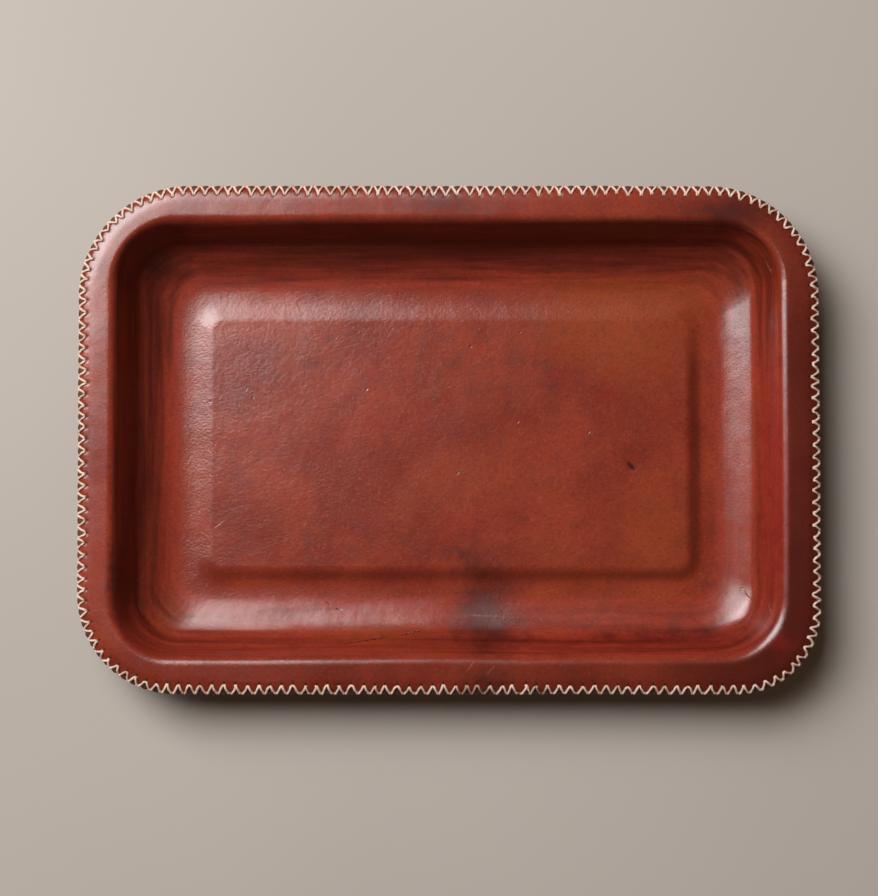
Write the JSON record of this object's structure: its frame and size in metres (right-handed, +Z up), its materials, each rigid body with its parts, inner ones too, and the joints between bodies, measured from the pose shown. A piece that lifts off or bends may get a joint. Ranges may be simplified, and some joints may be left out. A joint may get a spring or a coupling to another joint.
{
  "type": "leather tray",
  "caption": "Shallow rectangular tray of moulded leather with round corners, a drooping rim, steep walls that sweep into the floor, a raised floor panel and zigzag sewing over its edge.",
  "frame": {"origin": "centre of the tray's flat underside", "axes": "+X along the tray's length to the right, +Y across it to the back edge, +Z up out of the tray's mouth"},
  "size_m": [0.4004, 0.2754, 0.0352],
  "materials": {
    "face_leather": "hand-dyed red-brown vegetable-tanned leather, waxed and burnished to a soft gloss",
    "backing_leather": "dyed lining leather, matt",
    "floor_board": "raw fibreboard, hidden between the leathers",
    "edge_thread": "cream waxed linen thread"
  },
  "bodies": {
    "root": {"face_leather": "face_leather", "backing_leather": "backing_leather", "floor_board": "floor_board", "thread_front_right": "edge_thread", "thread_right_back": "edge_thread", "thread_back_left": "edge_thread", "thread_left_front": "edge_thread"}
  },
  "joints": []
}
